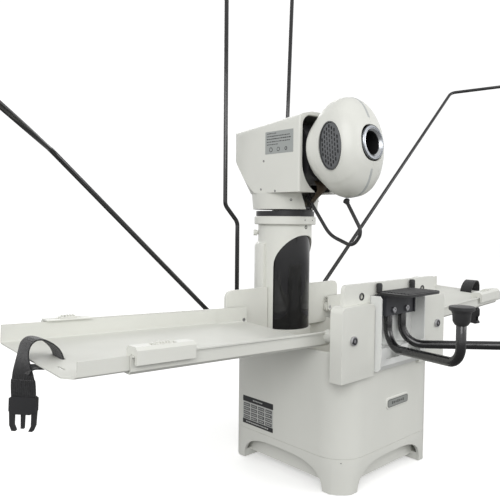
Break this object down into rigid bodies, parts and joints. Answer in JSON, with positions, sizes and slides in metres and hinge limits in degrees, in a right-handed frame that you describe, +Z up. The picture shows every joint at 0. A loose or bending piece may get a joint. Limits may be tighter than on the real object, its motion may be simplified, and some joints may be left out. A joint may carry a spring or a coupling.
{
  "type": "table tennis ball robot",
  "caption": "Table-tennis ball robot: square ball hopper on arched feet, folding ball-return trays, table hook, column with smoked window, turning and tilting throwing head, net poles.",
  "frame": {"origin": "middle of the square base on the floor plane", "axes": "+Z up; -Y towards the table hook and the nozzle; X along the two trays"},
  "size_m": [1.5612, 0.5485, 0.9601],
  "materials": {
    "ivory_plastic": "satin moulded ABS",
    "white_metal": "white powder coat",
    "dark_plastic": "fine texture",
    "black_rubber": "matt",
    "black_tube": "gloss black enamel",
    "smoked_panel": "smoked acrylic",
    "zinc_steel": "zinc plated",
    "webbing": "woven nylon",
    "motor_can": "plated can",
    "gear_nylon": "natural nylon",
    "feed_orange": "moulded",
    "drive_rubber": "soft tyre",
    "silver_bezel": "satin ring",
    "clear_tube": "moulded tube",
    "cable_pvc": "smooth sheath"
  },
  "bodies": {
    "base": {"base_skirt": "ivory_plastic", "rubber_feet": "black_rubber", "hopper_shell": "ivory_plastic", "hopper_floor": "ivory_plastic", "feed_motor": "motor_can", "lift_tube": "clear_tube", "column_front": "ivory_plastic", "column_window": "smoked_panel", "column_back": "ivory_plastic", "column_collar": "ivory_plastic", "pan_ring": "dark_plastic", "pan_gear": "gear_nylon", "front_plates": "ivory_plastic", "riser_plate": "ivory_plastic", "hook_channel": "white_metal", "clamp_bracket": "dark_plastic", "clamp_screws": "zinc_steel", "table_pad": "black_rubber", "hook_pegs": "black_rubber", "back_plates": "ivory_plastic", "wing_bolts": "zinc_steel", "pole_bracket": "dark_plastic"},
    "feeder": {"feed_wheel": "feed_orange"},
    "pinion": {"pan_pinion": "gear_nylon"},
    "knob": {"column_knob": "ivory_plastic"},
    "left_arm": {"arm_left": "black_tube", "arm_left_cap": "black_rubber"},
    "right_arm": {"arm_right": "black_tube", "arm_right_cap": "black_rubber"},
    "left_wing": {"left_tray": "ivory_plastic", "left_locks": "ivory_plastic"},
    "right_wing": {"right_tray": "ivory_plastic", "right_locks": "ivory_plastic"},
    "left_extension": {"left_tray_end": "ivory_plastic", "left_strap": "webbing", "left_buckle": "dark_plastic"},
    "right_extension": {"right_tray_end": "ivory_plastic", "right_strap": "webbing", "right_buckle": "dark_plastic"},
    "left_front_lock": {"left_front_slider": "ivory_plastic"},
    "right_front_lock": {"right_front_slider": "ivory_plastic"},
    "left_back_lock": {"left_back_slider": "ivory_plastic"},
    "right_back_lock": {"right_back_slider": "ivory_plastic"},
    "turret": {"housing_left": "ivory_plastic", "housing_right": "ivory_plastic", "turntable": "dark_plastic", "cable": "cable_pvc"},
    "tilter": {"knuckle": "dark_plastic", "tilt_pins": "zinc_steel"},
    "thrower": {"head_left": "ivory_plastic", "head_right": "ivory_plastic", "nozzle": "silver_bezel", "vents": "dark_plastic", "launch_motors": "motor_can"},
    "top_wheel": {"upper_wheel": "drive_rubber"},
    "bottom_wheel": {"lower_wheel": "drive_rubber"},
    "rear_left": {"rear_left_pole": "black_tube"},
    "rear_right": {"rear_right_pole": "black_tube"},
    "side_left": {"side_left_pole": "black_tube"},
    "side_right": {"side_right_pole": "black_tube"}
  },
  "joints": [
    {"name": "head_pan", "type": "hinge", "parent": "base", "child": "turret", "pos_m": [0, 0.127, 0.5], "axis": [0, 0, 1], "range_deg": [-40, 40]},
    {"name": "pan_pinion_turn", "type": "hinge", "parent": "turret", "child": "pinion", "pos_m": [0.05, 0.127, 0.483], "axis": [0, 0, 1], "range_deg": [-151, 151]},
    {"name": "head_tilt", "type": "hinge", "parent": "turret", "child": "tilter", "pos_m": [0, 0.082, 0.573], "axis": [-1, 0, 0], "range_deg": [-14, 3], "deforming": ["cable"]},
    {"name": "head_roll", "type": "hinge", "parent": "tilter", "child": "thrower", "pos_m": [0, 0.082, 0.573], "axis": [0, -0.9954, 0.0958], "range_deg": [-90, 90], "deforming": ["cable"]},
    {"name": "upper_wheel_spin", "type": "hinge", "parent": "thrower", "child": "top_wheel", "pos_m": [0, -0.02251, 0.6353], "axis": [1, 0, 0], "continuous": true},
    {"name": "lower_wheel_spin", "type": "hinge", "parent": "thrower", "child": "bottom_wheel", "pos_m": [0, -0.03248, 0.53178], "axis": [1, 0, 0], "continuous": true},
    {"name": "feed_wheel_spin", "type": "hinge", "parent": "base", "child": "feeder", "pos_m": [0, 0.01, 0.088], "axis": [0, 0, 1], "continuous": true},
    {"name": "knob_turn", "type": "hinge", "parent": "base", "child": "knob", "pos_m": [-0.04388, 0.16792, 0.424], "axis": [0.7314, -0.682, 0], "continuous": true},
    {"name": "left_arm_swing", "type": "hinge", "parent": "base", "child": "left_arm", "pos_m": [-0.0215, -0.14, 0.3], "axis": [0, 0, 1], "range_deg": [-18, 20]},
    {"name": "right_arm_swing", "type": "hinge", "parent": "base", "child": "right_arm", "pos_m": [0.0215, -0.14, 0.3], "axis": [0, 0, 1], "range_deg": [-20, 18]},
    {"name": "left_fold", "type": "hinge", "parent": "base", "child": "left_wing", "pos_m": [-0.1283, 0, 0.2596], "axis": [0, 1, 0], "range_deg": [0, 87]},
    {"name": "right_fold", "type": "hinge", "parent": "base", "child": "right_wing", "pos_m": [0.1283, 0, 0.2596], "axis": [0, 1, 0], "range_deg": [-87, 0]},
    {"name": "left_extend", "type": "slide", "parent": "left_wing", "child": "left_extension", "axis": [-0.999, 0, 0.0436], "range_m": [-0.044, 0.16]},
    {"name": "left_front_lock_slide", "type": "slide", "parent": "left_wing", "child": "left_front_lock", "axis": [-0.999, 0, 0.0436], "range_m": [-0.006, 0.006]},
    {"name": "left_back_lock_slide", "type": "slide", "parent": "left_wing", "child": "left_back_lock", "axis": [-0.999, 0, 0.0436], "range_m": [-0.006, 0.006]},
    {"name": "right_extend", "type": "slide", "parent": "right_wing", "child": "right_extension", "axis": [-0.999, 0, -0.0436], "range_m": [-0.16, 0.044]},
    {"name": "right_front_lock_slide", "type": "slide", "parent": "right_wing", "child": "right_front_lock", "axis": [-0.999, 0, -0.0436], "range_m": [-0.006, 0.006]},
    {"name": "right_back_lock_slide", "type": "slide", "parent": "right_wing", "child": "right_back_lock", "axis": [-0.999, 0, -0.0436], "range_m": [-0.006, 0.006]},
    {"name": "rear_left_plug", "type": "slide", "parent": "base", "child": "rear_left", "axis": [0, 0, 1], "range_m": [0, 0.03]},
    {"name": "rear_right_plug", "type": "slide", "parent": "base", "child": "rear_right", "axis": [0, 0, 1], "range_m": [0, 0.03]},
    {"name": "side_left_plug", "type": "slide", "parent": "base", "child": "side_left", "axis": [-0.7407, 0.0096, 0.6718], "range_m": [0, 0.03]},
    {"name": "side_right_plug", "type": "slide", "parent": "base", "child": "side_right", "axis": [0.7407, 0.0096, 0.6718], "range_m": [0, 0.03]}
  ],
  "couplings": [
    {"joint": "pan_pinion_turn", "follows": "head_pan", "ratio": 3.75}
  ]
}
